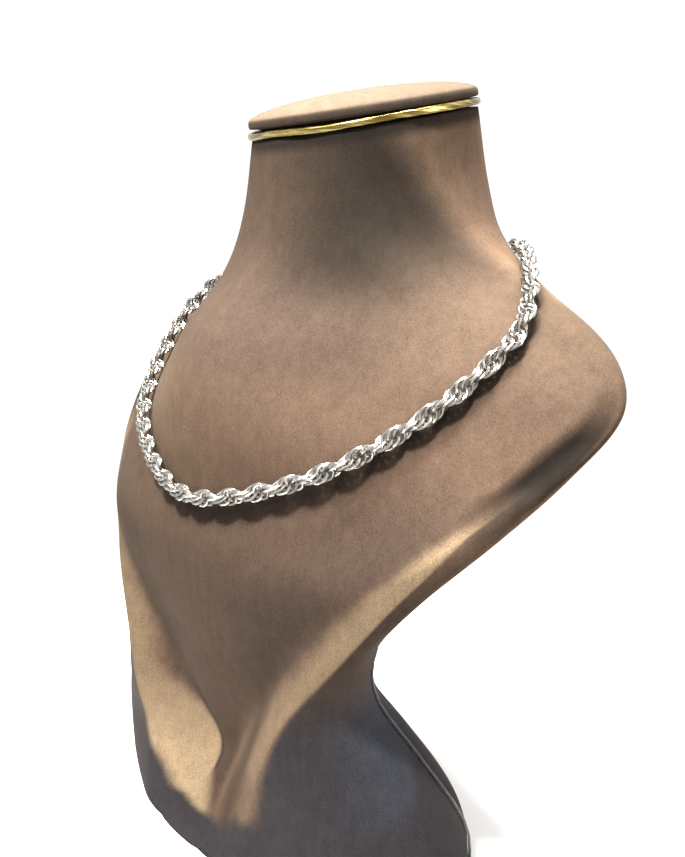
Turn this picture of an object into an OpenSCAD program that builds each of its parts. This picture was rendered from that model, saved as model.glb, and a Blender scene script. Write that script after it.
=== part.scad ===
// Rope chain necklace on a suede covered neck bust.
// Millimetres, +Z up. The origin is on the floor under the middle of the necklace's loop.
// The bust's front looks along -Y and its left hand side, seen from the front, is -X.

/* [Bust] */
// Height of the neck's top face, measured at the middle of the neck
bust_height = 278; // [260:1:300]
// Width over the shoulders
shoulder_width = 274; // [262:1:286]
// Front to back depth of the chest and shoulders
chest_depth = 112; // [106:1:118]
// Width of the waist, at the narrowest level of the outline
waist_width = 146; // [136:1:156]
// Front to back depth of the waist
waist_depth = 60; // [54:1:66]
// Width of the foot where it stands
foot_width = 212; // [190:1:230]
// Front to back depth of the foot where it stands
foot_depth = 92; // [86:1:100]
// Width of the neck at its top
neck_width = 92; // [86:1:96]
// Front to back depth of the neck at its top
neck_depth = 88; // [84:1:92]
// Slant of the neck's top face, lower at the front, in degrees
neck_slant = 10.4; // [6:0.2:13]

/* [Neck cap and trim] */
// Height of the trim band between the neck and its cap
trim_height = 3.4; // [2:0.2:5]
// How far the trim band stands out from the neck
trim_proud = 1.1; // [0.6:0.1:1.6]
// Width of the trim band's ring, from its outer edge inwards
trim_width = 6; // [4:0.5:9]
// Height of the cap's straight rim
cap_rim = 2.8; // [2:0.2:4]
// Rise of the cap's dome above its rim
cap_dome = 6.5; // [4:0.5:9]
// How far the cap stands out from the neck
cap_proud = 0.6; // [0.2:0.1:1]
// Bevel round the cap's rim
cap_bevel = 0.6; // [0.3:0.1:1]

/* [Rope chain] */
// Mean radius of a ring, measured to the middle of its wire
ring_radius = 2.8; // [2.76:0.01:2.84]
// Thickness of the ring's wire
wire_d = 0.9; // [0.6:0.02:0.92]
// Number of rings in the chain
ring_count = 243; // [243:1:244]
// Turn about the chain from each ring to the next, in degrees
ring_turn = 30; // [29:0.5:31]
// Length of the clasp's barrel
clasp_length = 11; // [9:0.5:13]
// Diameter of the clasp's barrel
clasp_d = 4.6; // [4:0.1:5.4]
// Mean radius of the loop at each end of the clasp
clasp_loop_radius = 1.75; // [1.7:0.05:1.85]

/* [Fits] */
// Gap between the neck, the trim band and the cap
seat_gap = 0.25; // [0.1:0.05:0.4]
// Gap left between the chain and the bust under it
chain_gap = 0.35; // [0.3:0.05:1]
// Gap between the wire of the clasp's loop and the ring that hangs in it
link_gap = 0.2; // [0.15:0.01:0.25]

/* [Hidden] */

SUEDE = [0.60, 0.49, 0.40];
GOLD = [0.78, 0.69, 0.36];
SILVER = [0.86, 0.85, 0.82];

foot_half = foot_width / 2;
waist_half = waist_width / 2;
shoulder_half = shoulder_width / 2;
neck_half = neck_width / 2;

// One row for each level of the bust, from the foot to the top of the neck.
// The chest's face ends at an edge. Beyond it a flank rolls over to a rim, and the side or the foot
// lies behind the rim. Low down the face draws back to a V and both flanks flare forwards.
// Each length is a share: level of the height, x of the row's half width, y of the row's depth.
// Columns: level, half width and depth that the row follows,
// front y, edge x, edge y, rim x, rim y, side x, side y, back y; fronts count towards -Y.
SECTIONS = [
    [0.000, foot_half, foot_depth, 0.70, 0.14, 0.69, 0.31, 0.66, 1.02, -0.22, 0.31],
    [0.083, foot_half, foot_depth, 0.43, 0.05, 0.43, 0.35, 0.59, 0.99, -0.25, 0.33],
    [0.165, foot_half, foot_depth, 0.47, 0.19, 0.45, 0.43, 0.60, 0.83, -0.30, 0.20],
    [0.252, waist_half, waist_depth, 0.82, 0.52, 0.74, 0.79, 0.86, 1.00, -0.55, 0.05],
    [0.338, waist_half, waist_depth, 0.89, 0.80, 0.77, 1.04, 0.74, 1.08, -0.57, 0.00],
    [0.424, shoulder_half, chest_depth, 0.48, 0.58, 0.38, 0.67, 0.30, 0.70, -0.24, 0.08],
    [0.511, shoulder_half, chest_depth, 0.44, 0.74, 0.20, 0.80, 0.18, 0.85, -0.11, 0.24],
    [0.586, shoulder_half, chest_depth, 0.46, 0.81, 0.04, 0.91, 0.01, 0.95, 0.05, 0.41],
    [0.662, shoulder_half, chest_depth, 0.44, 0.71, -0.03, 0.93, -0.14, 1.00, 0.20, 0.55],
    [0.723, shoulder_half, chest_depth, 0.36, 0.62, -0.09, 0.78, -0.24, 0.87, 0.30, 0.64],
    [0.777, shoulder_half, chest_depth, 0.23, 0.46, -0.07, 0.54, -0.23, 0.61, 0.37, 0.70],
    [0.835, neck_half, neck_depth, 0.18, 0.88, 0.00, 1.15, -0.25, 1.26, 0.47, 0.96],
    [0.892, neck_half, neck_depth, 0.13, 0.67, 0.02, 0.98, -0.21, 1.08, 0.43, 0.98],
    [1.000, neck_half, neck_depth, 0.09, 0.61, -0.02, 0.90, -0.20, 1.00, 0.41, 0.91],
];
// Level above which the neck starts to slant, as a share of the height
SLANT_START_SHARE = 0.68;
// Middle of the neck's top face from front to back, as a share of the neck's depth
NECK_MIDDLE_SHARE = 0.41;
// The back's quarter point, between the side and the middle of the back, as shares of each
QUARTER_X_SHARE = 0.80;
QUARTER_Y_SHARE = 0.66;
// Levels of the bust's facets and the facets along each stretch of a half section
LEVELS = 46;
STRETCHES = [8, 4, 3, 4, 6];

// Points that the chain passes over, on one side, from the front to the back of the neck.
// Columns: place along the half section (0 front, 1 edge, 2 rim, 3 side, 4 quarter point, 5 back),
// level as a share of the height, extra height where the chain bridges a hollow, as a share of its width.
CHAIN_ROUTE = [
    [0.00, 0.503, 0.00],
    [0.25, 0.523, 0.015],
    [0.50, 0.571, 0.015],
    [0.75, 0.629, 0.03],
    [1.00, 0.682, 0.00],
    [1.50, 0.724, 0.045],
    [2.55, 0.762, 0.06],
    [3.20, 0.788, 0.015],
    [3.80, 0.807, 0.015],
    [4.15, 0.812, 0.045],
    [4.55, 0.814, 0.03],
    [5.00, 0.814, 0.00],
];
// Steps of the chain's curve between two of its points
ROUTE_STEPS = 12;
// Distance that the slopes of the bust's surface are measured over
PROBE = 0.02;
// Last place of a half section, the middle of the back
BACK = 5;

// Sizes of the sections in millimetres: level, front y, edge x, edge y, rim x, rim y, side x, side y, back y
ROWS = [for (s = SECTIONS) [
    s[0] * bust_height, -s[3] * s[2], s[4] * s[1], -s[5] * s[2], s[6] * s[1],
    -s[7] * s[2], s[8] * s[1], s[9] * s[2], s[10] * s[2]
]];
LAST_ROW = len(ROWS) - 1;
neck_middle = NECK_MIDDLE_SHARE * neck_depth;
link_outer = ring_radius + wire_d / 2;
chain_lift = link_outer + chain_gap;
clasp_reach = clasp_length / 2 + clasp_loop_radius;
// From the middle of the clasp's loop to the middle of the ring that hangs in it
loop_to_ring = ring_radius + clasp_loop_radius - wire_d - link_gap;

// Slope between row k and the next one
function chord(k) = (ROWS[k + 1] - ROWS[k]) / (ROWS[k + 1][0] - ROWS[k][0]);
// Slope at row k, the mean of its two chords, in which the nearer row counts more
function row_slope(k) =
    k == 0 ? chord(0)
    : k == LAST_ROW ? chord(LAST_ROW - 1)
    : let (below = ROWS[k][0] - ROWS[k - 1][0], above = ROWS[k + 1][0] - ROWS[k][0])
        (chord(k - 1) * above + chord(k) * below) / (below + above);
// Cubic curve from a to b with the slopes m and n, t from 0 to 1, over the length h
function cubic(a, m, b, n, h, t) =
    a * (2 * t ^ 3 - 3 * t ^ 2 + 1) + m * h * (t ^ 3 - 2 * t ^ 2 + t)
    + b * (3 * t ^ 2 - 2 * t ^ 3) + n * h * (t ^ 3 - t ^ 2);
function row_below(z, k = 0) = k >= LAST_ROW - 1 || z < ROWS[k + 1][0] ? k : row_below(z, k + 1);
// The section's sizes at level z
function section_sizes(z) =
    let (k = row_below(z), h = ROWS[k + 1][0] - ROWS[k][0])
        cubic(ROWS[k], row_slope(k), ROWS[k + 1], row_slope(k + 1), h, (z - ROWS[k][0]) / h);
// The section's six points, with one mirrored point before and one after them
function section_points(z) =
    let (q = section_sizes(z), quarter_y = q[7] + QUARTER_Y_SHARE * (q[8] - q[7]))
        [[-q[2], q[3]], [0, q[1]], [q[2], q[3]], [q[4], q[5]], [q[6], q[7]],
         [QUARTER_X_SHARE * q[6], quarter_y], [0, q[8]], [-QUARTER_X_SHARE * q[6], quarter_y]];
function knot_step(p, i) = sqrt(norm(p[i + 1] - p[i]));
function knot_slope(p, i) =
    let (d0 = knot_step(p, i - 1), d1 = knot_step(p, i))
        (p[i] - p[i - 1]) / d0 - (p[i + 1] - p[i - 1]) / (d0 + d1) + (p[i + 1] - p[i]) / d1;
// Point of a half section's outline: v counts its points from 0 at the front to the back
function outline_point(p, v) =
    let (i = min(floor(v), BACK - 1) + 1)
        cubic(p[i], knot_slope(p, i), p[i + 1], knot_slope(p, i + 1), knot_step(p, i), v - i + 1);
function smooth_step(t) = t <= 0 ? 0 : t >= 1 ? 1 : t ^ 2 * (3 - 2 * t);
// Rise of the slanted neck at the level z and the depth y
function slant_rise(z, y) =
    let (start = SLANT_START_SHARE * bust_height)
        smooth_step((z - start) / (bust_height - start)) * tan(neck_slant) * (y - neck_middle);
// Point of the bust's surface at the place v and the level z
function skin_at(v, z) =
    let (p = outline_point(section_points(z), v))
        [p[0], p[1], z + slant_rise(z, p[1])];
function unit(a) = a / norm(a);
// Direction straight out of the surface
function outward(v, z) =
    v == 0 || v == BACK
        ? let (up = skin_at(v, z + PROBE) - skin_at(v, z - PROBE))
            unit([0, v == 0 ? -up[2] : up[2], v == 0 ? up[1] : -up[1]])
        : unit(cross(
            skin_at(v + PROBE, z) - skin_at(v - PROBE, z),
            skin_at(v, z + PROBE) - skin_at(v, z - PROBE)));
HALF_PLACES = [for (k = [0 : BACK - 1]) for (i = [0 : STRETCHES[k] - 1]) k + i / STRETCHES[k], BACK];
// All points of the outline at the level z, anticlockwise from the front, as seen from above
function outline(z) =
    let (p = section_points(z), half = [for (v = HALF_PLACES) outline_point(p, v)])
        [for (q = half) q, for (i = [len(half) - 2 : -1 : 1]) [-half[i][0], half[i][1]]];

// Faces of a closed skin over rings of points, each ring with n points, the lowest ring first
function skin_faces(rings, n) = [
    [for (j = [0 : n - 1]) j],
    [for (j = [n - 1 : -1 : 0]) (rings - 1) * n + j],
    for (i = [0 : rings - 2], j = [0 : n - 1])
        let (a = i * n + j, b = i * n + (j + 1) % n)
            each [[a, a + n, b + n], [a, b + n, b]]
];

// The neck's top outline in its own slanted plane, about the neck's middle, grown by an edge
NECK_TOP = [for (p = outline(bust_height)) [p[0], (p[1] - neck_middle) / cos(neck_slant)]];
function grown(edge) = [for (p = NECK_TOP) p * (1 + edge / norm(p))];

// The chain's points: the left half from the back to the front, then the right half
HALF_ROUTE = [for (r = CHAIN_ROUTE)
    let (z = r[1] * bust_height, p = skin_at(r[0], z) + outward(r[0],
        z) * (chain_lift + r[2] * 2 * link_outer))
        r[0] == 0 || r[0] == BACK ? [0, p[1], p[2]] : p
];
LOOP = [
    for (i = [len(HALF_ROUTE) - 1 : -1 : 1]) [-HALF_ROUTE[i][0], HALF_ROUTE[i][1], HALF_ROUTE[i][2]],
    for (i = [0 : len(HALF_ROUTE) - 2]) HALF_ROUTE[i]
];
function loop_at(i) = LOOP[(i + len(LOOP)) % len(LOOP)];
function loop_slope(i) =
    let (a = loop_at(i - 1), b = loop_at(i), c = loop_at(i + 1), d0 = sqrt(norm(b - a)),
        d1 = sqrt(norm(c - b)))
        (b - a) / d0 - (c - a) / (d0 + d1) + (c - b) / d1;
// Fine points of the closed loop, which starts and ends in the middle of the neck's back
CURVE = [
    for (i = [0 : len(LOOP) - 1], k = [0 : ROUTE_STEPS - 1])
        let (h = sqrt(norm(loop_at(i + 1) - loop_at(i))))
            cubic(loop_at(i), loop_slope(i), loop_at(i + 1), loop_slope(i + 1), h, k / ROUTE_STEPS),
    LOOP[0]
];
function lengths(sum = 0, i = 0) = i == len(CURVE) - 1 ? [sum]
    : [sum, each lengths(sum + norm(CURVE[i + 1] - CURVE[i]), i + 1)];
LENGTHS = lengths();
loop_length = LENGTHS[len(LENGTHS) - 1];
X_ALONG = [for (i = [0 : len(CURVE) - 1]) [LENGTHS[i], CURVE[i][0]]];
Y_ALONG = [for (i = [0 : len(CURVE) - 1]) [LENGTHS[i], CURVE[i][1]]];
Z_ALONG = [for (i = [0 : len(CURVE) - 1]) [LENGTHS[i], CURVE[i][2]]];
function wrapped(s) = s < 0 ? s + loop_length : s > loop_length ? s - loop_length : s;
function along(s) =
    let (w = wrapped(s))
        [lookup(w, X_ALONG), lookup(w, Y_ALONG), lookup(w, Z_ALONG)];
// Direction of the chain at the length s, measured over one ring
function heading(s) = unit(along(s + ring_radius) - along(s - ring_radius));
// Directions across the chain at the curve's points, each carried on from the last without a twist
function carried(side, i = 0) = i == len(CURVE) ? []
    : let (t = unit(CURVE[min(i + 1, len(CURVE) - 1)] - CURVE[max(i - 1, 0)]),
        a = unit(side - (side * t) * t))
        [a, each carried(a, i + 1)];
SIDES = carried([0, 0, 1]);
X_ACROSS = [for (i = [0 : len(CURVE) - 1]) [LENGTHS[i], SIDES[i][0]]];
Y_ACROSS = [for (i = [0 : len(CURVE) - 1]) [LENGTHS[i], SIDES[i][1]]];
Z_ACROSS = [for (i = [0 : len(CURVE) - 1]) [LENGTHS[i], SIDES[i][2]]];
function across(s) =
    let (w = wrapped(s), a = [lookup(w, X_ACROSS), lookup(w, Y_ACROSS), lookup(w, Z_ACROSS)], t = heading(s))
        unit(a - (a * t) * t);

chain_start = clasp_reach + loop_to_ring;
ring_pitch = (loop_length - 2 * chain_start) / (ring_count - 1);
last_turn = (ring_count - 1) * ring_turn;

// Places children at the length s, their X along the chain, turned about the chain by an angle
module on_chain(s, turn) {
    x = heading(s);
    a = across(s);
    b = cross(x, a);
    z = a * cos(turn) + b * sin(turn);
    y = cross(z, x);
    p = along(s);
    multmatrix([
        [x[0], y[0], z[0], p[0]],
        [x[1], y[1], z[1], p[1]],
        [x[2], y[2], z[2], p[2]],
        [0, 0, 0, 1]
    ]) children();
}

// A round wire ring in the XY plane
module ring(radius) {
    rotate_extrude($fn = 32) translate([radius, 0]) circle(d = wire_d, $fn = 16);
}

// Puts children on the neck's slanted top face, at a height over it
module on_neck(height) {
    translate([0, neck_middle, bust_height]) rotate([neck_slant, 0, 0]) translate([0, 0, height]) children();
}

module bust() {
    n = len(HALF_PLACES) * 2 - 2;
    points = [for (i = [0 : LEVELS])
        let (z = i / LEVELS * bust_height)
            for (p = outline(z)) [p[0], p[1], z + slant_rise(z, p[1])]
    ];
    color(SUEDE) polyhedron(points, skin_faces(LEVELS + 1, n));
}

module neck_trim() {
    color(GOLD) on_neck(seat_gap) linear_extrude(trim_height) difference() {
        polygon(grown(trim_proud));
        polygon(grown(trim_proud - trim_width));
    }
}

// The cap: a spigot through the trim band, a straight rim and a low dome
module neck_cap() {
    spigot_edge = trim_proud - trim_width - seat_gap;
    rim_base = trim_height + seat_gap;
    dome_steps = 7;
    profile = [
        [spigot_edge, 0],
        [spigot_edge, rim_base],
        [cap_proud - cap_bevel, rim_base],
        [cap_proud, rim_base + cap_bevel],
        [cap_proud, rim_base + cap_rim]
    ];
    n = len(NECK_TOP);
    edge_rings = [for (r = profile) [for (p = grown(r[0])) [p[0], p[1], r[1]]]];
    dome_rings = [for (i = [1 : dome_steps])
        let (a = 90 * i / (dome_steps + 0.5), share = cos(a))
            [for (p = grown(cap_proud)) [p[0] * share, p[1] * share, rim_base + cap_rim + cap_dome * sin(a)]]
    ];
    rings = concat(edge_rings, dome_rings);
    color(SUEDE) on_neck(seat_gap) polyhedron([for (r = rings) each r], skin_faces(len(rings), n));
}

module rope_chain() {
    color(SILVER) for (i = [0 : ring_count - 1])
        on_chain(chain_start + i * ring_pitch, i * ring_turn) ring(ring_radius);
}

// The clasp: a barrel with a loop at each end, each loop square to the ring that hangs in it
module clasp() {
    color(SILVER) {
        on_chain(0, 0) rotate([0, 90, 0]) cylinder(h = clasp_length, d = clasp_d, center = true, $fn = 32);
        on_chain(0, 90) translate([clasp_reach, 0, 0]) ring(clasp_loop_radius);
        on_chain(loop_length, last_turn + 90) translate([-clasp_reach, 0, 0]) ring(clasp_loop_radius);
    }
}

bust();
neck_trim();
neck_cap();
rope_chain();
clasp();
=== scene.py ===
"""Dresses a rope chain on a suede covered neck bust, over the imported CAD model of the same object."""
import logging
import math
from collections.abc import Iterator
from contextlib import contextmanager
from dataclasses import dataclass
from enum import Enum

import bmesh
import bpy
import numpy as np
from mathutils import Matrix, Vector


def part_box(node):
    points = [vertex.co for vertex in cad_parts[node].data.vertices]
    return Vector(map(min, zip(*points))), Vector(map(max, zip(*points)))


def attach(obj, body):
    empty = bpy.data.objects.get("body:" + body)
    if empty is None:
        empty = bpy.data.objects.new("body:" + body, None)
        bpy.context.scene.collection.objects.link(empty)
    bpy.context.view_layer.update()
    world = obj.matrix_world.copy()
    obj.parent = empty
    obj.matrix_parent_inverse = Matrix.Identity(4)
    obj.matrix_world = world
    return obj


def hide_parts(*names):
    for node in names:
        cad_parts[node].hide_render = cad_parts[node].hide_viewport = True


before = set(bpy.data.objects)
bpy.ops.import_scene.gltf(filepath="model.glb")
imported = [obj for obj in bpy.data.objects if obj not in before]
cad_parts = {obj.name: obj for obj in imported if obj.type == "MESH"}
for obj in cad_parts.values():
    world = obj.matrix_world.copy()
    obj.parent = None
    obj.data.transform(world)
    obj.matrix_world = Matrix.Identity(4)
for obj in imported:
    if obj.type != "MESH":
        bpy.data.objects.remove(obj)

LOG = logging.getLogger("necklace")
MM = 0.001
BODY = "root"
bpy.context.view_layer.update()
NECK_SLANT = math.radians(10.4)
NECK_UP = Vector((0, -math.sin(NECK_SLANT), math.cos(NECK_SLANT)))
CREASE_ANGLE = math.radians(50)
DOUBLES = 2e-6
TINY = 1e-6

Colour = tuple[float, float, float, float]
Range = tuple[float, float]


def shade(red: int, green: int, blue: int) -> Colour:
    """Turns a colour as a screen shows it into the linear colour that a shader takes.

    Args:
        red: Red, 0 to 255.
        green: Green, 0 to 255.
        blue: Blue, 0 to 255.

    Returns:
        The linear colour with an alpha of one.
    """
    parts = [c / 255 for c in (red, green, blue)]
    linear = [c / 12.92 if c <= 0.04045 else ((c + 0.055) / 1.055) ** 2.4 for c in parts]
    return (*linear, 1.0)


class Value:
    """A shader socket that takes plain arithmetic."""

    def __init__(self, shader: "Shader", socket: bpy.types.NodeSocket) -> None:
        """Keeps the socket and the shader that it belongs to."""
        self.shader = shader
        self.socket = socket

    def _math(self, operation: str, first: "Value | float", second: "Value | float" = 0.0) -> "Value":
        """Adds one Math node."""
        return self.shader.node("ShaderNodeMath", {"operation": operation}, {0: first, 1: second})

    def __add__(self, other: "Value | float") -> "Value":
        """The sum of two values."""
        return self._math("ADD", self, other)

    def __sub__(self, other: "Value | float") -> "Value":
        """This value less another."""
        return self._math("SUBTRACT", self, other)

    def __rsub__(self, other: float) -> "Value":
        """A number less this value."""
        return self._math("SUBTRACT", other, self)

    def __mul__(self, other: "Value | float") -> "Value":
        """The product of two values."""
        return self._math("MULTIPLY", self, other)

    __radd__ = __add__
    __rmul__ = __mul__

    def between(self, low: float, high: float) -> "Value":
        """Rises smoothly from 0 to 1.

        Args:
            low: The value at which the result is 0.
            high: The value at which the result is 1; it may be the lower one.

        Returns:
            The smooth step.
        """
        rising = high > low
        step = self.shader.node(
            "ShaderNodeMapRange",
            {"interpolation_type": "SMOOTHSTEP", "clamp": True},
            {"Value": self, "From Min": min(low, high), "From Max": max(low, high)},
        )
        return step if rising else 1.0 - step

    def near(self, middle: float, width: float) -> "Value":
        """A soft hump that is 1 at the middle and 0 at a width to each side."""
        return self._math("ABSOLUTE", self - middle).between(width, 0.0)


class Shader:
    """The nodes of one material, round its Principled shader."""

    def __init__(self, name: str, constants: dict[str, object]) -> None:
        """Starts a material.

        Args:
            name: The material's name.
            constants: Values of the Principled shader's sockets that are the same all over.
        """
        self.material = bpy.data.materials.new(name)
        self.material.use_nodes = True
        self.tree = self.material.node_tree
        self.principled = self.tree.nodes["Principled BSDF"]
        for socket, value in constants.items():
            self.principled.inputs[socket].default_value = value
        self.material.diffuse_color = tuple(constants.get("Base Color", (0.5, 0.5, 0.5, 1.0)))

    def node(self, kind: str, settings: dict[str, object], sockets: dict[str | int, object],
             out: int = 0) -> Value:
        """Adds any node.

        Args:
            kind: The node's type.
            settings: Its settings, set first.
            sockets: Values or links of its input sockets, by name or number.
            out: The number of the output socket that is wanted.

        Returns:
            The output socket.
        """
        made = self.tree.nodes.new(kind)
        for name, value in settings.items():
            setattr(made, name, value)
        for name, value in sockets.items():
            self.join(made.inputs[name], value)
        return Value(self, made.outputs[out])

    def join(self, socket: bpy.types.NodeSocket, value: object) -> None:
        """Links a value to a socket, or sets the socket to a constant."""
        if isinstance(value, Value):
            self.tree.links.new(value.socket, socket)
        else:
            socket.default_value = value

    def place(self) -> Value:
        """The object's own coordinates, in metres."""
        return self.node("ShaderNodeTexCoord", {}, {}, out=3)

    def axis(self, number: int) -> Value:
        """One of the object's coordinates, 0 for X, 1 for Y and 2 for Z."""
        return self.node("ShaderNodeSeparateXYZ", {}, {0: self.place()}, out=number)

    def attribute(self, name: str) -> Value:
        """A value that the mesh carries at each of its points."""
        return self.node("ShaderNodeAttribute", {"attribute_name": name}, {}, out=2)

    def noise(self, grain: float, detail: float = 2.0, rough: float = 0.5,
              stretch: tuple[float, float, float] = (1.0, 1.0, 1.0), shift: float = 0.0) -> Value:
        """Soft noise in the object's coordinates.

        Args:
            grain: The size of its grains, in metres.
            detail: How many finer layers it has.
            rough: How strong the finer layers are.
            stretch: How much longer the grains are along each axis.
            shift: Moves the pattern, so that two noises differ.

        Returns:
            The noise, about 0.5 on average.
        """
        scale = tuple(1 / s for s in stretch)
        mapped = self.node(
            "ShaderNodeMapping", {},
            {"Vector": self.place(), "Location": (shift, shift, shift), "Scale": scale},
        )
        return self.node(
            "ShaderNodeTexNoise", {},
            {"Vector": mapped, "Scale": 1 / grain, "Detail": detail, "Roughness": rough},
        )

    def mix(self, factor: Value | float, first: object, second: object) -> Value:
        """Mixes two colours, from the first at 0 to the second at 1."""
        settings = {"data_type": "RGBA", "blend_type": "MIX", "clamp_factor": True}
        return self.node("ShaderNodeMix", settings, {0: factor, 6: first, 7: second}, out=2)

    def bump(self, height: Value, strength: float, distance: float) -> Value:
        """A bumped normal from a height, the distance being the depth in metres."""
        return self.node("ShaderNodeBump", {}, {"Height": height, "Strength": strength, "Distance": distance})

    def feed(self, socket: str, value: Value) -> None:
        """Feeds a varying value to the Principled shader."""
        self.join(self.principled.inputs[socket], value)


class Cover(Enum):
    """Which piece a suede cover is for."""

    BUST = "bust"
    CAP = "cap"


@dataclass(frozen=True)
class Palette:
    """The suede's own browns and its painted light and shade, down to the painted shadow under the band."""

    chest: Colour = shade(76, 62, 50)
    rust: Colour = shade(71, 57, 47)
    # Painted highlight on the flanks.
    tan: Colour = shade(91, 77, 61)
    straw: Colour = shade(120, 104, 83)
    # Painted shade and painted shadow.
    dusk: Colour = shade(36, 30, 27)
    shadow: Colour = shade(20, 18, 16)
    # Painted light: the cap's suede made paler, as light falls on its top.
    crown: Colour = shade(80, 69, 58)
    # Painted light on the shoulders' tops.
    crest: Colour = shade(106, 88, 72)
    # Painted shade on the foot, bluer at its side.
    slate: Colour = shade(36, 34, 36)
    steel: Colour = shade(42, 44, 50)
    seam: Colour = shade(30, 31, 34)
    sheen: Colour = shade(236, 214, 188)


class BustTones:
    """The painted light and shade that follow the bust's shape, such as its pale flanks and its slate foot.

    The cover carries its place and its level on each point. The place counts round the bust, 0 at the front,
    1 at the chest's edge, 2 at the rim, 3 at the side, 4 at the quarter and 5 at the back. The level is the
    share of the rows that lie below, 0 at the foot and 1 at the neck's top. Each range below runs from where
    a tone is missing to where it is full. Heights, X and Y are in metres.
    """

    RAGGED_GRAIN = 9 * MM
    RAGGED = 0.30
    NEAR_HALF = (-6 * MM, 6 * MM)
    FLANK_INNER = (0.95, 1.65)
    FLANK_WAIST = (0.46, 0.54)
    FLANK_OUTER = (2.12, 1.92)
    FLANK_LEVELS = (0.552, 0.500)
    NEAR_DRAWN_IN = (80 * MM, 28 * MM)
    FAR_DRAWN_IN = (54 * MM, 20 * MM)
    FAR_DRAWN_OUT = (56 * MM, 34 * MM)
    FAR_FLANK_FADES = (86 * MM, 112 * MM)
    NEAR_FLANK_FADES = (46 * MM, 30 * MM)
    TIP_HEIGHT = 12 * MM
    TIP_LEAN = 1.3
    TIP_ACROSS = (7 * MM, -3 * MM)
    TIP_HEIGHTS = (40 * MM, 30 * MM)
    TIP_PLACES = (1.6, 1.2)
    CREASE_PLACE = (0.88, 0.52)
    CREASE_LEVELS = (0.60, 0.50)
    FACE_PLACES = (1.1, 0.6)
    FACE_HEIGHTS = (160 * MM, 110 * MM)
    BEYOND_PLACES = (1.96, 2.15)
    BEYOND_LEVELS = (0.56, 0.38)
    EDGE_PLACES = (1.78, 2.0)
    EDGE_ENDS = (2.9, 2.3)
    EDGE_LEVELS = (0.50, 0.53)
    EDGE_TOPS = (0.60, 0.56)
    FOOT_PLACES = (1.98, 2.12)
    FOOT_LEVELS = (0.33, 0.22)
    HEM_HEIGHTS = (24 * MM, 16 * MM)
    HEM_RISE = 18 * MM
    HEM_RAGGED = 12 * MM
    BOTTOM_HEIGHTS = (9.5 * MM, 6.5 * MM)
    BOTTOM_RAGGED = 6 * MM
    NECK_FOOT = 229 * MM
    NECK_LEAN = 0.6
    NECK_FRONT = (50 * MM, 30 * MM)
    NECK_HEIGHTS = (170 * MM, 200 * MM)
    PATCH_ACROSS = (38 * MM, 46 * MM)
    PATCH_HEIGHTS = (199 * MM, 227 * MM)
    COLLAR_LEVELS = (0.975, 0.992)
    CREST_ACROSS = (48 * MM, 84 * MM)
    CREST_HEIGHTS = (180 * MM, 200 * MM)
    STRAW_LOW = (55 * MM, 15 * MM)
    STRAW_HIGH = (85 * MM, 125 * MM)
    STRAW_ACROSS = (34 * MM, 14 * MM)
    STEEL_FRONT = (2.3, 3.3)
    STEEL_BACK = (4.3, 3.5)
    SEAM_PLACE = (3.79, 0.09)
    SEAM_LEVELS = (0.34, 0.28)

    def __init__(self, shader: Shader, palette: Palette) -> None:
        """Reads the cover's coordinates.

        Args:
            shader: The suede's shader.
            palette: The suede's colours.
        """
        self.s, self.palette = shader, palette
        self.place, self.level = shader.attribute("place"), shader.attribute("level")
        self.across, self.along, self.height = shader.axis(0), shader.axis(1), shader.axis(2)
        self.ragged = (shader.noise(self.RAGGED_GRAIN, 3.0, 0.6, shift=5.0) - 0.5) * self.RAGGED
        self.near = self.across.between(*self.NEAR_HALF)
        self.inner = self.place - self._drawn_in()

    def _drawn_in(self) -> Value:
        """How far the flanks' inner edges move as the chest narrows, on the near and on the far half."""
        far = self.height.near(*self.FAR_DRAWN_IN) * 0.2 - self.height.between(*self.FAR_DRAWN_OUT) * 0.55
        near = self.height.between(*self.NEAR_DRAWN_IN) * 0.6
        return near * self.near + far * (1.0 - self.near)

    def _flank(self) -> Value:
        """The flank's painted highlight, between the chest's edge and the rim, with one tip at the front."""
        outer = self.place + self.ragged * 0.3 + self.level.between(*self.FLANK_WAIST) * 0.2
        flank = (self.inner + self.ragged).between(*self.FLANK_INNER) * outer.between(*self.FLANK_OUTER)
        high = (1.0 - self.near) * self.height.between(*self.FAR_FLANK_FADES)
        flank = flank * self.level.between(*self.FLANK_LEVELS) * (1.0 - high * 0.85)
        flank = flank * (1.0 - self.near * self.height.between(*self.NEAR_FLANK_FADES) * 0.75)
        tip = (self.across + (self.height - self.TIP_HEIGHT) * self.TIP_LEAN).between(*self.TIP_ACROSS)
        tip = tip * self.height.between(*self.TIP_HEIGHTS) * self.place.between(*self.TIP_PLACES)
        return flank + tip * (1.0 - flank)

    def _straw(self) -> Value:
        """The colour of the flank's painted highlight, paler towards its upper and its lower end."""
        palette = self.palette
        low = self.height.between(*self.STRAW_LOW) * self.across.between(*self.STRAW_ACROSS)
        straw = self.s.mix(low, palette.tan, palette.straw)
        return self.s.mix(self.height.between(*self.STRAW_HIGH) * 0.8, straw, palette.straw)

    def _crease(self) -> Value:
        """The painted shade in the crease where the flank leaves the chest's face."""
        crease = (self.inner + self.ragged * 0.5).near(*self.CREASE_PLACE)
        return crease * self.level.between(*self.CREASE_LEVELS)

    def _face(self) -> Value:
        """The painted shade on the lower part of the chest's face."""
        return self.place.between(*self.FACE_PLACES) * self.height.between(*self.FACE_HEIGHTS)

    def _beyond(self) -> Value:
        """The painted shade on the side behind the flank's rim."""
        return self.place.between(*self.BEYOND_PLACES) * self.level.between(*self.BEYOND_LEVELS)

    def _edge(self) -> Value:
        """The painted shade on the rim at the waist's top."""
        edge = self.place.between(*self.EDGE_PLACES) * self.place.between(*self.EDGE_ENDS)
        return edge * self.level.between(*self.EDGE_LEVELS) * self.level.between(*self.EDGE_TOPS)

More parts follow.
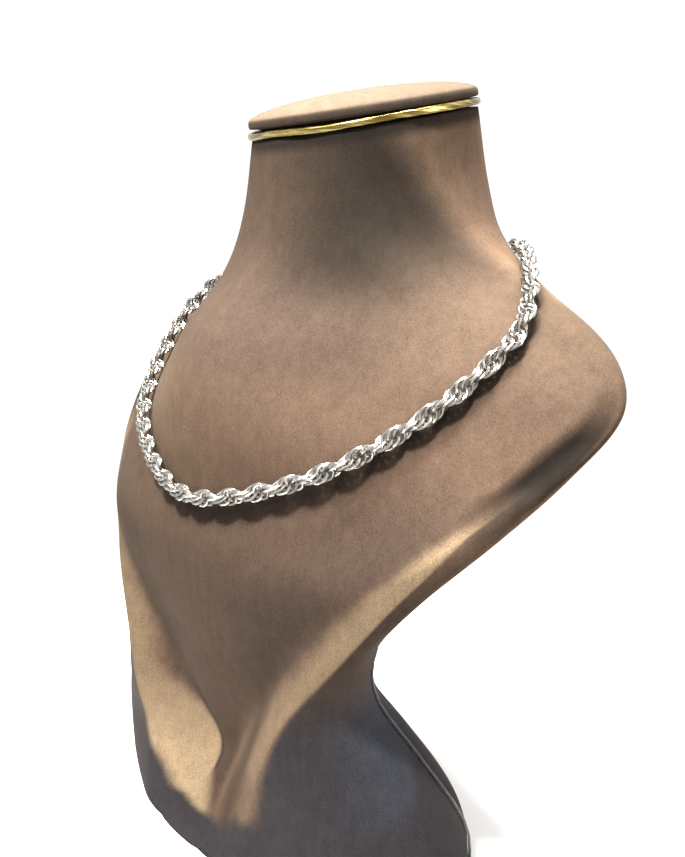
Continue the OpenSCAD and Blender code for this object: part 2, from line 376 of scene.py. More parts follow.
    def _foot(self) -> Value:
        """The painted shade, slate grey, on the foot behind the flanks."""
        behind = (self.place + self.ragged * 0.2).between(*self.FOOT_PLACES)
        return behind * (self.level + self.ragged * 0.05).between(*self.FOOT_LEVELS)

    def _slate(self) -> Value:
        """The colour of the foot's painted shade, bluer at its side."""
        side = self.place.between(*self.STEEL_FRONT) * self.place.between(*self.STEEL_BACK)
        return self.s.mix(side, self.palette.slate, self.palette.steel)

    def _hem(self) -> Value:
        """The painted shade along the foot's lower rim, higher towards the flanks' outer ends."""
        rise = (2.0 - self.place) * self.HEM_RISE
        hem = (self.height + rise + self.ragged * self.HEM_RAGGED).between(*self.HEM_HEIGHTS)
        bottom = (self.height + self.ragged * self.BOTTOM_RAGGED).between(*self.BOTTOM_HEIGHTS)
        return hem + bottom * (1.0 - hem)

    def _neck(self) -> Value:
        """The painted shade on the front of the neck, under the cap."""
        front = (self.along + (self.height - self.NECK_FOOT) * self.NECK_LEAN).between(*self.NECK_FRONT)
        return front * self.height.between(*self.NECK_HEIGHTS)

    def _patch(self, neck: Value) -> Value:
        """A painted shadow: the dark patch on the neck below the band."""
        return neck * self.across.near(*self.PATCH_ACROSS) * self.height.between(*self.PATCH_HEIGHTS)

    def _crest(self) -> Value:
        """The painted light on the shoulders' tops."""
        low, high = self.CREST_ACROSS
        crest = self.across.between(low, high) + self.across.between(-low, -high)
        return crest * self.height.between(*self.CREST_HEIGHTS)

    def _seam(self) -> Value:
        """The seam down the foot's side."""
        return self.place.near(*self.SEAM_PLACE) * self.level.between(*self.SEAM_LEVELS)

    def over(self, colour: Value) -> Value:
        """Lays the painted light and shade and the seam over a colour, each one over the ones before it.

        Args:
            colour: The suede's colour so far.

        Returns:
            The colour with the tones.
        """
        palette, neck = self.palette, self._neck()
        for zone, share, tone in (
            # Painted light on the shoulders' tops.
            (self._crest(), 0.9, palette.crest),
            # Painted shadow that the chain casts.
            (self.s.attribute("chain_shadow"), 0.8, palette.shadow),
            # Painted shade on the neck's front, with a darker painted shadow patch.
            (neck, 0.6, palette.dusk),
            (self._patch(neck), 0.78, palette.shadow),
            # Painted shadow along the neck's top, under the band.
            (self.level.between(*self.COLLAR_LEVELS), 0.8, palette.shadow),
            # Painted shade on the chest's lower face and in the crease.
            (self._face(), 0.6, palette.dusk),
            (self._crease(), 0.6, palette.dusk),
            # Painted highlight on the flanks.
            (self._flank(), 0.9, self._straw()),
            # Painted shade behind the rims and on the rim at the waist.
            (self._beyond(), 0.8, palette.dusk),
            (self._edge(), 0.5, palette.dusk),
            # Painted shade under the wings.
            (self.s.attribute("wing"), 0.95, palette.shadow),
            # Painted shade on the foot and along its lower rim.
            (self._foot(), 1.0, self._slate()),
            (self._hem(), 1.0, palette.slate),
            (self._seam(), 0.85, palette.seam),
        ):
            colour = self.s.mix(zone * share, colour, tone)
        return colour


@dataclass(frozen=True)
class Suede:
    """Short napped brown suede, with painted highlights on its edges and painted slate shade on its foot."""

    palette: Palette = Palette()
    grain: float = 0.5 * MM
    nap_grain: float = 6 * MM
    brush_grain: float = 2.4 * MM
    brush_stretch: tuple[float, float, float] = (1.0, 1.0, 8.0)
    patch_grain: float = 60 * MM
    # The cap's painted light on its top and painted shade on its side.
    crown_share: float = 0.9
    cap_side: Range = (5.2 * MM, 6.4 * MM)
    cap_side_share: float = 0.8

    def material(self, cover: Cover) -> bpy.types.Material:
        """Builds the finish.

        Args:
            cover: The piece that it is for; the bust's carries its place and level on each point.

        Returns:
            The material.
        """
        s = Shader(f"suede_{cover.value}", {
            "Base Color": self.palette.chest, "Roughness": 0.92, "Specular IOR Level": 0.05,
            "Sheen Weight": 0.02, "Sheen Roughness": 0.4, "Sheen Tint": self.palette.sheen,
        })
        fine = s.noise(self.grain, 3.0, 0.7)
        nap = s.noise(self.nap_grain, 4.0, 0.6)
        brushed = s.noise(self.brush_grain, 3.0, 0.6, self.brush_stretch, 3.0)
        broad = s.noise(self.patch_grain, 2.0, 0.5, shift=1.7)
        colour = s.mix(broad.between(0.38, 0.66), self.palette.rust, self.palette.chest)
        if cover is Cover.BUST:
            colour = BustTones(s, self.palette).over(colour)
        else:
            colour = self._cap_tones(s, colour)
        grainy = (fine - 0.5) * 1.7 + (nap - 0.5) * 0.5 + (brushed - 0.5) * 0.4
        tone = s.node("ShaderNodeHueSaturation", {}, {"Value": 1.0 + grainy, "Color": colour})
        s.feed("Base Color", tone)
        s.feed("Roughness", 0.86 + fine * 0.12)
        s.feed("Normal", s.bump(fine * 0.8 + nap * 0.7 + brushed * 0.2, 0.3, 0.3 * MM))
        return s.material

    def _cap_tones(self, s: Shader, colour: Value) -> Value:
        """Makes the cap's suede paler, as painted light on its top, and paints shade on the side below it.

        Args:
            s: The shader.
            colour: The suede's colour so far.

        Returns:
            The colour with the cap's tones.
        """
        colour = s.mix(self.crown_share, colour, self.palette.crown)
        side = s.attribute("depth").between(*self.cap_side)
        return s.mix(side * self.cap_side_share, colour, self.palette.dusk)


@dataclass(frozen=True)
class Silver:
    """Polished silver wire with fine marks from wear."""

    bright: Colour = shade(163, 161, 156)
    grey: Colour = shade(134, 133, 130)

    def material(self) -> bpy.types.Material:
        """Builds the finish and returns it."""
        s = Shader("polished_silver", {"Base Color": self.bright, "Metallic": 1.0, "Roughness": 0.32})
        worn = s.noise(1.6 * MM, 3.0, 0.6)
        s.feed("Base Color", s.mix(worn.between(0.55, 0.75) * 0.4, self.bright, self.grey))
        s.feed("Roughness", 0.24 + worn * 0.16)
        s.feed("Normal", s.bump(s.noise(0.35 * MM, 2.0), 0.25, 0.03 * MM))
        return s.material


@dataclass(frozen=True)
class GoldFoil:
    """Bright gold foil wrapped round a soft band, creased along its length."""

    bright: Colour = shade(198, 184, 118)
    deep: Colour = shade(112, 94, 46)

    def material(self) -> bpy.types.Material:
        """Builds the finish and returns it."""
        s = Shader("gold_foil", {"Base Color": self.bright, "Metallic": 1.0, "Roughness": 0.25})
        streak = s.noise(1.1 * MM, 3.0, 0.55, (14.0, 14.0, 1.0))
        s.feed("Base Color", s.mix(streak.between(0.40, 0.68), self.deep, self.bright))
        s.feed("Roughness", 0.18 + streak * 0.2)
        s.feed("Normal", s.bump(streak, 0.5, 0.25 * MM))
        return s.material


@dataclass(frozen=True)
class WeltCord:
    """The dark cord in the foot's seam."""

    colour: Colour = shade(46, 46, 50)
    worn: Colour = shade(72, 72, 78)

    def material(self) -> bpy.types.Material:
        """Builds the finish and returns it."""
        s = Shader("welt_cord", {"Base Color": self.colour, "Roughness": 0.8, "Sheen Weight": 0.2})
        twist = s.noise(0.6 * MM, 2.0, 0.5, (1.0, 1.0, 2.5))
        s.feed("Base Color", s.mix(twist.between(0.4, 0.7), self.colour, self.worn))
        s.feed("Normal", s.bump(twist, 0.5, 0.15 * MM))
        return s.material


class Bench:
    """The hand work that all pieces share, done with Blender's operators."""

    @staticmethod
    def pick(*pieces: bpy.types.Object) -> None:
        """Selects these objects alone and makes the first one active."""
        bpy.ops.object.select_all(action="DESELECT")
        for piece in pieces:
            piece.select_set(True)
        if pieces:
            bpy.context.view_layer.objects.active = pieces[0]

    @staticmethod
    @contextmanager
    def editing(piece: bpy.types.Object, mode: str = "VERT") -> Iterator[bmesh.types.BMesh]:
        """Holds a piece in edit mode with nothing selected.

        Args:
            piece: The piece.
            mode: What is selected, VERT, EDGE or FACE.

        Yields:
            The piece's edit mesh.
        """
        Bench.pick(piece)
        bpy.ops.object.mode_set(mode="EDIT")
        bpy.ops.mesh.select_mode(type=mode)
        bpy.ops.mesh.select_all(action="DESELECT")
        yield bmesh.from_edit_mesh(piece.data)
        bpy.ops.object.mode_set(mode="OBJECT")

    @staticmethod
    def choose(piece: bpy.types.Object, mesh: bmesh.types.BMesh, chosen: list) -> None:
        """Selects vertices, edges or faces of the piece in edit mode."""
        for element in chosen:
            element.select_set(True)
        mesh.select_flush_mode()
        bmesh.update_edit_mesh(piece.data)

    @staticmethod
    def copy_of(node: str, name: str) -> bpy.types.Object:
        """Copies a CAD node into a piece of its own, with its doubles merged.

        Args:
            node: The CAD node.
            name: The new piece's name.

        Returns:
            The piece, without a material.
        """
        piece = bpy.data.objects.new(name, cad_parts[node].data.copy())
        bpy.context.scene.collection.objects.link(piece)
        piece.data.materials.clear()
        with Bench.editing(piece):
            bpy.ops.mesh.select_all(action="SELECT")
            bpy.ops.mesh.remove_doubles(threshold=DOUBLES)
        return piece

    @staticmethod
    def modify(piece: bpy.types.Object, kind: str, **settings: object) -> None:
        """Adds a modifier with these settings and applies it."""
        Bench.pick(piece)
        modifier = piece.modifiers.new(kind.lower(), kind)
        for name, value in settings.items():
            setattr(modifier, name, value)
        bpy.ops.object.modifier_apply(modifier=modifier.name)

    @staticmethod
    def points(piece: bpy.types.Object) -> np.ndarray:
        """The piece's points, one row each, in metres."""
        flat = np.empty(len(piece.data.vertices) * 3, np.float32)
        piece.data.vertices.foreach_get("co", flat)
        return flat.reshape(-1, 3).astype(float)

    @staticmethod
    def normals(piece: bpy.types.Object) -> np.ndarray:
        """The piece's point normals, one row each."""
        flat = np.empty(len(piece.data.vertices) * 3, np.float32)
        piece.data.vertex_normals.foreach_get("vector", flat)
        return flat.reshape(-1, 3).astype(float)

    @staticmethod
    def mould(piece: bpy.types.Object, points: np.ndarray) -> None:
        """Moves the piece's points to these places."""
        piece.data.vertices.foreach_set("co", points.astype(np.float32).ravel())
        piece.data.update()

    @staticmethod
    def carry(piece: bpy.types.Object, name: str, values: np.ndarray) -> None:
        """Writes a value on the mesh at each of its points.

        Args:
            piece: The piece.
            name: The name that a shader reads the value by.
            values: The values, one for each point.
        """
        carried = piece.data.attributes.new(name, "FLOAT", "POINT")
        carried.data.foreach_set("value", values.astype(np.float32))

    @staticmethod
    def carried(piece: bpy.types.Object, name: str) -> np.ndarray:
        """Reads a value that the mesh carries at each of its points."""
        values = np.empty(len(piece.data.vertices), np.float32)
        piece.data.attributes[name].data.foreach_get("value", values)
        return values.astype(float)

    @staticmethod
    def finish(piece: bpy.types.Object, material: bpy.types.Material, slot: str, *nodes: str) -> None:
        """Smooths, dresses and mounts a finished piece.

        Args:
            piece: The piece, at the origin.
            material: Its finish.
            slot: The name of a material slot; not used.
            nodes: The CAD nodes that it stands for.
        """
        Bench.pick(piece)
        bpy.ops.object.shade_smooth_by_angle(angle=CREASE_ANGLE)
        piece.data.materials.clear()
        piece.data.materials.append(material)
        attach(piece, BODY)
        if nodes:
            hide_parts(*nodes)
        LOG.info("%s: %d faces", piece.name, len(piece.data.polygons))


@dataclass
class RingGrid:
    """Turns a CAD skin of triangles, laid ring over ring, back into its rows and columns of quads."""

    piece: bpy.types.Object
    upright: Vector
    same_height: float = 1e-5

    def weave(self) -> tuple[np.ndarray, int]:
        """Dissolves each cell's diagonal and the flat ends' inner edges.

        Returns:
            The row and column of each point, one row each, and the number of rows.
        """
        with Bench.editing(self.piece, "EDGE") as mesh:
            row = self._rows(mesh)
            edges = [e for e in mesh.edges if self._inner(e, row)]
            between = [e for e in mesh.edges if row[e.verts[0].index] != row[e.verts[1].index]]
            front = next(e for e in between if all(abs(v.co.x) < TINY for v in e.verts))
            straight = self._leaning(front, row)
            edges += [e for e in between if self._leaning(e, row) != straight]
            Bench.choose(self.piece, mesh, edges)
            bpy.ops.mesh.dissolve_edges(use_verts=False, use_face_split=False)
        with Bench.editing(self.piece) as mesh:
            column = self._columns(mesh, row)
        return np.stack([row, column], 1), int(row.max()) + 1

    def _rows(self, mesh: bmesh.types.BMesh) -> np.ndarray:
        """Numbers the rings from the lowest one up."""
        mesh.verts.ensure_lookup_table()
        heights = [v.co.dot(self.upright) for v in mesh.verts]
        row = np.full(len(mesh.verts), -1)
        lowest = min(heights) + self.same_height
        edge = [v for v in mesh.verts if heights[v.index] < lowest]
        number = 0
        while edge:
            for v in edge:
                row[v.index] = number
            near = {e.other_vert(v) for v in edge for e in v.link_edges}
            edge = [v for v in near if row[v.index] < 0]
            number += 1
        return row

    @staticmethod
    def _inner(edge: bmesh.types.BMEdge, row: np.ndarray) -> bool:
        """Whether an edge lies inside one of the flat ends."""
        return all(len({row[v.index] for v in f.verts}) == 1 for f in edge.link_faces)

    @staticmethod
    def _leaning(edge: bmesh.types.BMEdge, row: np.ndarray) -> bool:
        """Which way an edge between two rings runs in the face that has two points on the upper ring."""
        upper = max(edge.verts, key=lambda v: row[v.index])
        heavy = max(edge.link_faces, key=lambda f: sum(row[v.index] for v in f.verts))
        loop = next(l for l in heavy.loops if l.edge == edge)
        return loop.vert == upper

    @staticmethod
    def _columns(mesh: bmesh.types.BMesh, row: np.ndarray) -> np.ndarray:
        """Numbers each ring's points from the front, towards +X first."""
        mesh.verts.ensure_lookup_table()
        column = np.full(len(mesh.verts), -1)
        for number in range(int(row.max()) + 1):
            ring = [v for v in mesh.verts if row[v.index] == number]
            here = min((v for v in ring if abs(v.co.x) < TINY), key=lambda v: v.co.y)
            count = 0
            while here is not None:
                column[here.index] = count
                count += 1
                beside = [e.other_vert(here) for e in here.link_edges]
                left = [v for v in beside if row[v.index] == number and column[v.index] < 0]
                here = max(left, key=lambda v: v.co.x) if left else None
        return column


@dataclass
class SuedeBust:
    """The bust: a moulded core under a tight suede cover, with soft rolled edges and a seam at each side."""

    stretches: tuple[int, ...] = (8, 4, 3, 4, 6)
    levels: int = 2
    end_crease: float = 1.0
    rim_place: float = 2.0
    rim_crease: float = 0.45
    rim_top: float = 0.45
    groove: float = 0.3 * MM
    groove_place: float = 0.95
    groove_width: float = 0.16
    groove_levels: Range = (0.52, 0.42)
    seam: float = 0.7 * MM
    seam_place: float = 3.75
    seam_width: float = 0.06
    seam_levels: Range = (0.33, 0.27)
    welt: float = 0.55 * MM
    hollow: float = 2.6 * MM
    hollow_start: float = 0.97
    hollow_level: float = 0.556
    hollow_lean: float = 10.5
    hollow_width: float = 1.5
    wing_low: Range = (0.51, 0.58)
    wing_high: Range = (0.69, 0.63)
    wing_back: Range = (3.2, 2.6)
    shade_start: Range = (0.0, 0.2)
    shade_end: Range = (2.1, 1.4)
    # The painted shadow that the chain casts: its width, reach and the lamp's direction.
    shadow_width: float = 3.6 * MM
    shadow_reach: Range = (16 * MM, 10 * MM)
    lamp_direction: tuple[float, float, float] = (0.08, -0.33, 0.71)
    batches: int = 40

    def build(self) -> None:
        """Builds the cover and its two seam cords."""
        cover = Bench.copy_of("bust", "suede_bust")
        grid, rows = RingGrid(cover, Vector((0, 0, 1))).weave()
        Bench.carry(cover, "place", np.array(self._places())[grid[:, 1]])
        Bench.carry(cover, "level", grid[:, 0] / (rows - 1))
        cords = [self._cord(cover, grid, rows, side) for side in (1, -1)]
        self._round(cover, grid, rows)
        self._relief(cover)
        self._shade_behind_chain(cover)
        Bench.finish(cover, Suede().material(Cover.BUST), "suede", "bust")
        cord_finish = WeltCord().material()
        for cord in cords:
            Bench.finish(cord, cord_finish, "suede")

    @staticmethod
    def _step(values: np.ndarray, limits: Range) -> np.ndarray:
        """Rises straight from 0 at the first limit to 1 at the second; the second may be the lower one."""
        return np.clip((values - limits[0]) / (limits[1] - limits[0]), 0, 1)

    def _places(self) -> list[float]:
        """The place of each column: 0 front, 1 edge, 2 rim, 3 side, 4 quarter, 5 back."""
        half = [k + i / n for k, n in enumerate(self.stretches) for i in range(n)] + [5.0]
        return half + half[-2:0:-1]

    def _round(self, cover: bpy.types.Object, grid: np.ndarray, rows: int) -> None:
        """Holds the ends' outlines and the flanks' rims and rounds the skin.

        Args:
            cover: The cover as quads.
            grid: The row and column of each of its points.
            rows: The number of its rows.
        """
        rim = self._places().index(self.rim_place)
        columns = {rim, len(self._places()) - rim}
        with Bench.editing(cover, "EDGE") as mesh:
            ends = [e for e in mesh.edges
                    if {grid[v.index, 0] for v in e.verts} in ({0}, {rows - 1})]
            Bench.choose(cover, mesh, ends)
            bpy.ops.transform.edge_crease(value=self.end_crease)
        with Bench.editing(cover, "EDGE") as mesh:
            rims = [e for e in mesh.edges
                    if len({grid[v.index, 1] for v in e.verts} & columns) == 1
                    and len({grid[v.index, 1] for v in e.verts}) == 1
                    and all(0 < grid[v.index, 0] < self.rim_top * rows for v in e.verts)]
            Bench.choose(cover, mesh, rims)
            bpy.ops.transform.edge_crease(value=self.rim_crease)
        Bench.modify(cover, "SUBSURF", levels=self.levels, render_levels=self.levels)

    def _relief(self, cover: bpy.types.Object) -> None:
        """Presses the creases, the seams and the hollows under the wings' edges into the cover.

        The wings stand out over the waist below the shoulders. Painted shade under them is stored as "wing".
        """
        place, level = Bench.carried(cover, "place"), Bench.carried(cover, "level")
        low, foot = self._step(level, self.groove_levels), self._step(level, self.seam_levels)
        height = -self.groove * low * np.exp(-(((place - self.groove_place) / self.groove_width) ** 2))
        height -= self.seam * foot * np.exp(-(((place - self.seam_place) / self.seam_width) ** 2))
        wing = self._step(level, self.wing_low) * self._step(level, self.wing_high)
        wing *= self._step(place, self.wing_back)
        past = place - self.hollow_start - np.clip(level - self.hollow_level, 0, 1) * self.hollow_lean
        share = np.clip(past / self.hollow_width, 0, 1)
        height -= self.hollow * wing * (27 / 4) * share * (1 - share) ** 2
        shaded = self._step(past, self.shade_start) * self._step(past, self.shade_end)
        Bench.carry(cover, "wing", wing * shaded)
        Bench.mould(cover, Bench.points(cover) + Bench.normals(cover) * height[:, None])

    def _shade_behind_chain(self, cover: bpy.types.Object) -> None:
        """Writes a painted shadow of the chain: how close each point lies behind it, seen from above."""
        points = Bench.points(cover)
        toward = np.array(self.lamp_direction) / np.linalg.norm(self.lamp_direction)
        chain = np.array([place.translation for place in RopeChain(dense=1).places()])
        chain_shadow = np.zeros(len(points))
        for part in np.array_split(np.arange(len(points)), self.batches):
            away = chain[None] - points[part][:, None]
            along = away @ toward
            aside = np.linalg.norm(away - along[..., None] * toward, axis=2)
            reach = (along > 0) * self._step(along, self.shadow_reach)
            chain_shadow[part] = (np.exp(-((aside / self.shadow_width) ** 2)) * reach).max(1)
        Bench.carry(cover, "chain_shadow", chain_shadow)

    def _cord(self, cover: bpy.types.Object, grid: np.ndarray, rows: int, side: int) -> bpy.types.Object:
        """Makes the cord in one seam.

        Args:
            cover: The cover before it is rounded.
            grid: The row and column of each of its points.
            rows: The number of its rows.
            side: 1 for the +X side and -1 for the other.

        Returns:
            The cord, a closed tube.
        """
        column = self._places().index(self.seam_place)
        column = column if side > 0 else len(self._places()) - column
        top = int(self.seam_levels[0] * (rows - 1))
        with Bench.editing(cover, "EDGE") as mesh:
            line = [e for e in mesh.edges
                    if all(grid[v.index, 1] == column and grid[v.index, 0] <= top for v in e.verts)]
            Bench.choose(cover, mesh, line)
            bpy.ops.mesh.duplicate()
            bpy.ops.mesh.separate(type="SELECTED")
        cord = next(o for o in bpy.context.selected_objects if o is not cover)
        cord.name = cord.data.name = f"welt_{'right' if side > 0 else 'left'}"
        Bench.pick(cord)
        bpy.ops.object.convert(target="CURVE")
        cord.data.bevel_depth = self.welt
        cord.data.bevel_resolution = 2
        cord.data.use_fill_caps = True
        bpy.ops.object.convert(target="MESH")
        with Bench.editing(cord):
            bpy.ops.mesh.select_all(action="SELECT")
            bpy.ops.mesh.remove_doubles(threshold=TINY)
            bpy.ops.mesh.normals_make_consistent(inside=False)
        points = Bench.points(cord)
        points[:, 2] = np.maximum(points[:, 2], 0.0)
        Bench.mould(cord, points)
        return cord


@dataclass
class NeckCap:
    """The suede cap on the slanted neck."""

    levels: int = 2

    def build(self) -> None:
        """Rounds the cap, writes on it as "depth" how far each point lies below its top, and dresses it."""
        cap = Bench.copy_of("neck_cap", "suede_cap")
        RingGrid(cap, NECK_UP).weave()
        Bench.modify(cap, "SUBSURF", levels=self.levels, render_levels=self.levels)
        rise = Bench.points(cap) @ np.array(NECK_UP)
        Bench.carry(cap, "depth", rise.max() - rise)
        Bench.finish(cap, Suede().material(Cover.CAP), "suede", "neck_cap")


@dataclass
class FoilBand:
    """The gold band between the neck and its cap, a soft roll of foil."""

    flat_angle: float = math.radians(0.5)
    bevel: float = 1.1 * MM
    bevel_segments: int = 5
    bevel_angle: float = math.radians(60)
    wave: float = 0.35 * MM
    waves: tuple[tuple[int, float, float], ...] = ((5, 0.8, 1.0), (11, 2.0, 0.6))
    inner_margin: float = 3 * MM
    slim: float = 0.8
    dip: float = 0.9 * MM
    dip_turn: float = 0.6
    dip_width: float = 0.5
    dip_level: float = 0.3

    def build(self) -> None:
        """Rounds the band, gives it its waves and dresses it."""
        band = Bench.copy_of("neck_trim", "foil_band")
        with Bench.editing(band):
            bpy.ops.mesh.select_all(action="SELECT")
            bpy.ops.mesh.dissolve_limited(angle_limit=self.flat_angle)
        Bench.modify(band, "BEVEL", width=self.bevel, segments=self.bevel_segments, limit_method="ANGLE",
                     angle_limit=self.bevel_angle)
        Bench.mould(band, self._waved(Bench.points(band)))
        Bench.finish(band, GoldFoil().material(), "gold_trim", "neck_trim")

    def _waved(self, points: np.ndarray) -> np.ndarray:
        """Slims the band, swells its outer side in waves and moves it down to both sides of its front.

        Args:
            points: The band's points.

        Returns:
            The moved points.
        """
        up, middle = np.array(NECK_UP), points.mean(0)
        turn = np.arctan2(points[:, 1] - middle[1], points[:, 0])
        rise = (points - middle) @ up
        out = points - middle - rise[:, None] * up
        reach = np.linalg.norm(out, axis=1)
        outer = reach > reach.min() + self.inner_margin
        waves = sum(share * np.sin(count * turn + start) for count, start, share in self.waves)
        swell = self.wave * waves / sum(share for _, _, share in self.waves)
        beside = (np.abs(turn + math.pi / 2) - self.dip_turn) / self.dip_width
        dip = self.dip * (np.exp(-(beside ** 2)) - self.dip_level)
        moved = points + (outer * swell / reach)[:, None] * out
        return moved - ((1 - self.slim) * rise + dip)[:, None] * up


@dataclass
class RingFit:
    """The middle and the plane of a round ring."""

    middle: np.ndarray
    normal: np.ndarray

    @classmethod
    def of(cls, block: np.ndarray) -> "RingFit":
        """Fits a ring to its points."""
        mean = block.mean(0)
        axes = np.linalg.svd(block - mean, full_matrices=False)[2]
        spread = (block - mean) @ axes.T
        return cls(mean + (spread.max(0) + spread.min(0)) / 2 @ axes, axes[2])

    def placing(self, ahead: np.ndarray) -> Matrix:
        """Gives the matrix that lays a ring of the XY plane here.

        Args:
            ahead: The direction that the ring's own X axis keeps closest to.

        Returns:
            The matrix.
        """
        z = Vector(self.normal).normalized()
        x = Vector(ahead)
        x = (x - x.dot(z) * z).normalized()
        turn = Matrix((x, z.cross(x), z)).transposed()
        return Matrix.Translation(Vector(self.middle)) @ turn.to_4x4()


@dataclass
class RopeChain:
    """The chain: thin round wire rings close behind one another, on the course and twist of the CAD rings."""

    count: int = 243
    dense: int = 2
    radius: float = 2.83 * MM
    wire: float = 0.42 * MM
    apart: float = 0.45 * MM
    segments: int = 14
    sides: int = 5

    def ring(self, name: str, radius: float, wire: float) -> bpy.types.Object:
        """Makes one ring in the XY plane, widened so that its corners match a round ring on average.

        Args:
            name: The ring's name.
            radius: Its mean radius.
            wire: Its wire's radius.

        Returns:
            The ring.
        """
        bpy.ops.object.select_all(action="DESELECT")
        bpy.ops.mesh.primitive_torus_add(
            major_radius=radius / math.cos(math.pi / self.segments) ** 0.5,
            minor_radius=wire / math.cos(math.pi / self.sides) ** 0.5,
            major_segments=self.segments, minor_segments=self.sides,
        )
        ring = bpy.context.active_object
        ring.name = ring.data.name = name
        return ring

    def places(self) -> list[Matrix]:
        """Finds where the thin rings lie, several for each CAD ring, by turns to its two sides.

        Returns:
            The placing of each thin ring.
        """
        blocks = Bench.points(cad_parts["rope_chain"]).reshape(self.count, -1, 3)
        fits = [RingFit.of(block) for block in blocks]
        middles = np.array([fit.middle for fit in fits])
        normals = np.array([fit.normal for fit in fits])
        for i in range(1, self.count):
            normals[i] *= np.sign(normals[i] @ normals[i - 1])
        steps = np.linspace(0, self.count - 1, (self.count - 1) * self.dense + 1)
        whole = np.arange(self.count)
        track = np.stack([np.interp(steps, whole, m) for m in middles.T], 1)
        lean = np.stack([np.interp(steps, whole, n) for n in normals.T], 1)
        lean /= np.linalg.norm(lean, axis=1)[:, None]
        sides = np.where(np.arange(len(steps)) % 2, 1, -1) * self.apart
        sides[[0, -1]] = 0
        ahead = np.gradient(track, axis=0)
        return [RingFit(m + n * d, n).placing(a) for m, n, d, a in zip(track, lean, sides, ahead)]

    def build(self) -> None:
        """Copies one ring to all places and dresses the chain."""
        pattern = self.ring("rope_chain_rings", self.radius, self.wire)
        places = self.places()
        rings = [pattern]
        for _ in places[1:]:
            rings.append(bpy.data.objects.new("ring", pattern.data.copy()))
            bpy.context.scene.collection.objects.link(rings[-1])
        for ring, place in zip(rings, places):
            ring.data.transform(place)
        Bench.pick(*rings)
        bpy.ops.object.join()
        Bench.finish(pattern, Silver().material(), "silver", "rope_chain")


@dataclass
class BarrelClasp:
    """The clasp behind the neck: a turned barrel with a loop at each end."""

    radius: float = 2.3 * MM
    length: float = 11 * MM
    loop: float = 1.75 * MM
    wire: float = 0.45 * MM
    sides: int = 40
    body_share: float = 0.9
    end_share: float = 0.62
    cuts: tuple[float, ...] = (-0.40, -0.30, -0.26, 0.02, 0.06, 0.26, 0.30, 0.40)
    collar: Range = (0.25, 0.41)
    end: float = 0.45
    margin: float = 0.2 * MM
    bevel: float = 0.15 * MM
    bevel_angle: float = math.radians(25)

    def build(self) -> None:
        """Turns the barrel, adds the loops and dresses the clasp."""
        low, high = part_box("clasp")
        barrel = self._barrel()
        barrel.data.transform(Matrix.Translation((low + high) / 2) @ Matrix.Rotation(math.pi / 2, 4, "Y"))
        points = Bench.points(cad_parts["clasp"])
        loops = []
        for side in (1, -1):
            fit = RingFit.of(self._loop_points(points, side))
            loop = RopeChain().ring("clasp_loop", self.loop, self.wire)
            loop.data.transform(fit.placing(np.array([1.0, 0.0, 0.0])))
            loops.append(loop)
        Bench.pick(barrel, *loops)
        bpy.ops.object.join()
        Bench.finish(barrel, Silver().material(), "silver", "clasp")

    def _loop_points(self, points: np.ndarray, side: int) -> np.ndarray:
        """The points of one loop, completed by their own mirror image about its middle.

        Args:
            points: The CAD clasp's points.
            side: 1 for the loop towards +X and -1 for the other.

        Returns:
            The loop's points, one row each.
        """
        reach = self.length / 2 + self.loop
        part = points[points[:, 0] * side > self.length / 2 + self.margin]
        middle = np.array([side * reach, *((part.max(0) + part.min(0)) / 2)[1:]])
        return np.concatenate([part, 2 * middle - part])

    def _barrel(self) -> bpy.types.Object:
        """Makes the barrel along Z, with a collar near each end and narrower ends."""
        bpy.ops.object.select_all(action="DESELECT")
        bpy.ops.mesh.primitive_cylinder_add(
            vertices=self.sides, radius=self.radius * self.body_share, depth=self.length,
        )
        barrel = bpy.context.active_object
        barrel.name = barrel.data.name = "barrel_clasp"
        for cut in self.cuts:
            with Bench.editing(barrel):
                bpy.ops.mesh.select_all(action="SELECT")
                bpy.ops.mesh.bisect(plane_co=(0, 0, cut * self.length), plane_no=(0, 0, 1))
        self._scale_rings(barrel, self.collar, 1 / self.body_share)
        self._scale_rings(barrel, (self.end, 1.0), self.end_share)
        Bench.modify(barrel, "BEVEL", width=self.bevel, segments=2, limit_method="ANGLE",
                     angle_limit=self.bevel_angle)
        return barrel

    def _scale_rings(self, barrel: bpy.types.Object, where: Range, scale: float) -> None:
        """Widens or narrows the barrel at both ends.

        Args:
            barrel: The barrel, along Z round the origin.
            where: The range of heights, as shares of its length from the middle.
            scale: What its radius is multiplied by there.
        """
        with Bench.editing(barrel) as mesh:
            rings = [v for v in mesh.verts if where[0] < abs(v.co.z) / self.length < where[1]]
            Bench.choose(barrel, mesh, rings)
            bpy.ops.transform.resize(value=(scale, scale, 1), center_override=(0, 0, 0))


@dataclass(frozen=True)
class Lamp:
    """One square lamp.

    Attributes:
        name: The lamp's name.
        place: Where it hangs, in metres.
        size: The length of its sides, in metres.
        power: Its power, in watts.
        colour: Its colour.
        spread: The angle that it shines into.
    """

    name: str
    place: tuple[float, float, float]
    size: float
    power: float
    colour: tuple[float, float, float]
    spread: float = math.pi

    def hang(self, target: Vector) -> None:
        """Hangs the lamp so that it looks at the target."""
        light = bpy.data.lights.new(self.name, "AREA")
        light.size, light.energy = self.size, self.power
        light.color, light.spread = self.colour, self.spread
        lamp = bpy.data.objects.new(self.name, light)
        bpy.context.scene.collection.objects.link(lamp)
        lamp.location = self.place
        lamp.rotation_euler = (target - Vector(self.place)).to_track_quat("-Z", "Y").to_euler()


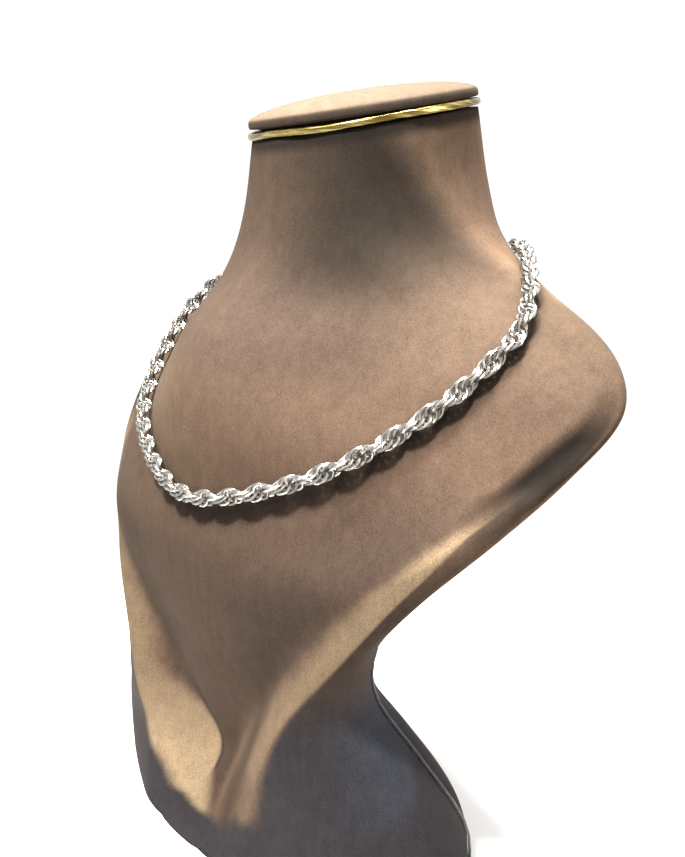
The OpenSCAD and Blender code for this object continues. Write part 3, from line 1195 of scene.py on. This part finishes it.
@dataclass
class Studio:
    """A plain pale floor, soft studio light and the camera at the photograph's angle."""

    eye: tuple[float, float, float] = (289.7 * MM, -221.2 * MM, 241.9 * MM)
    azimuth: float = math.radians(49.64)
    elevation: float = math.radians(13.11)
    roll: float = math.radians(-0.36)
    sensor: float = 36.0
    lens: float = 38.4
    clip: Range = (0.01, 100.0)
    target: tuple[float, float, float] = (10 * MM, 0.0, 150 * MM)
    sky_colour: Colour = (1.0, 1.0, 1.0, 1.0)
    sky_power: float = 1.1
    floor_radius: float = 14.0
    lamps: tuple[Lamp, ...] = (
        Lamp("key", (0.02, 0.05, 0.95), 0.25, 2.2, (1.0, 0.96, 0.90), math.radians(34)),
        Lamp("front", (0.10, -0.38, 0.86), 0.10, 1.2, (1.0, 0.96, 0.90), math.radians(34)),
        Lamp("fill", (-0.9, -0.9, 0.5), 0.8, 0.3, (1.0, 0.98, 0.96)),
        Lamp("side", (1.0, 0.6, 0.45), 0.5, 8.0, (1.0, 0.93, 0.82)),
    )

    def build(self) -> None:
        """Sets the floor, the sky, the lamps and the camera."""
        self._floor()
        self._sky()
        for lamp in self.lamps:
            lamp.hang(Vector(self.target))
        self._camera()
        bpy.context.scene.view_settings.view_transform = "Standard"
        LOG.info("studio: floor, sky, %d lamps and camera", len(self.lamps))

    def _floor(self) -> None:
        """Lays the floor."""
        bpy.ops.object.select_all(action="DESELECT")
        bpy.ops.mesh.primitive_circle_add(vertices=96, radius=self.floor_radius, fill_type="NGON")
        floor = bpy.context.active_object
        floor.name = "floor"
        s = Shader("pale_floor", {"Base Color": shade(247, 247, 247), "Roughness": 0.9})
        s.feed("Base Color", s.mix(s.noise(0.4, 2.0), shade(246, 246, 246), shade(249, 249, 249)))
        floor.data.materials.append(s.material)

    def _sky(self) -> None:
        """Lights the scene evenly from all round, in white."""
        world = bpy.data.worlds.new("studio_sky")
        bpy.context.scene.world = world
        world.use_nodes = True
        background = world.node_tree.nodes["Background"]
        background.inputs["Color"].default_value = self.sky_colour
        background.inputs["Strength"].default_value = self.sky_power

    def _camera(self) -> None:
        """Sets the camera at the photograph's angle and distance."""
        a, e, r = self.azimuth, self.elevation, self.roll
        back = Vector((math.sin(a) * math.cos(e), -math.cos(a) * math.cos(e), math.sin(e)))
        level = Vector((math.cos(a), math.sin(a), 0))
        upward = back.cross(level)
        right = math.cos(r) * level + math.sin(r) * upward
        data = bpy.data.cameras.new("camera")
        data.sensor_width, data.lens = self.sensor, self.lens
        data.clip_start, data.clip_end = self.clip
        camera = bpy.data.objects.new("camera", data)
        bpy.context.scene.collection.objects.link(camera)
        turn = Matrix((right, back.cross(right), back)).transposed()
        camera.matrix_world = Matrix.Translation(self.eye) @ turn.to_4x4()
        bpy.context.scene.camera = camera


def main() -> None:
    """Builds the pieces in order and reports each one."""
    logging.basicConfig(level=logging.INFO, format="%(name)s %(message)s")
    for assembly in (SuedeBust(), NeckCap(), FoilBand(), RopeChain(), BarrelClasp(), Studio()):
        assembly.build()


if __name__ == "__main__":
    main()
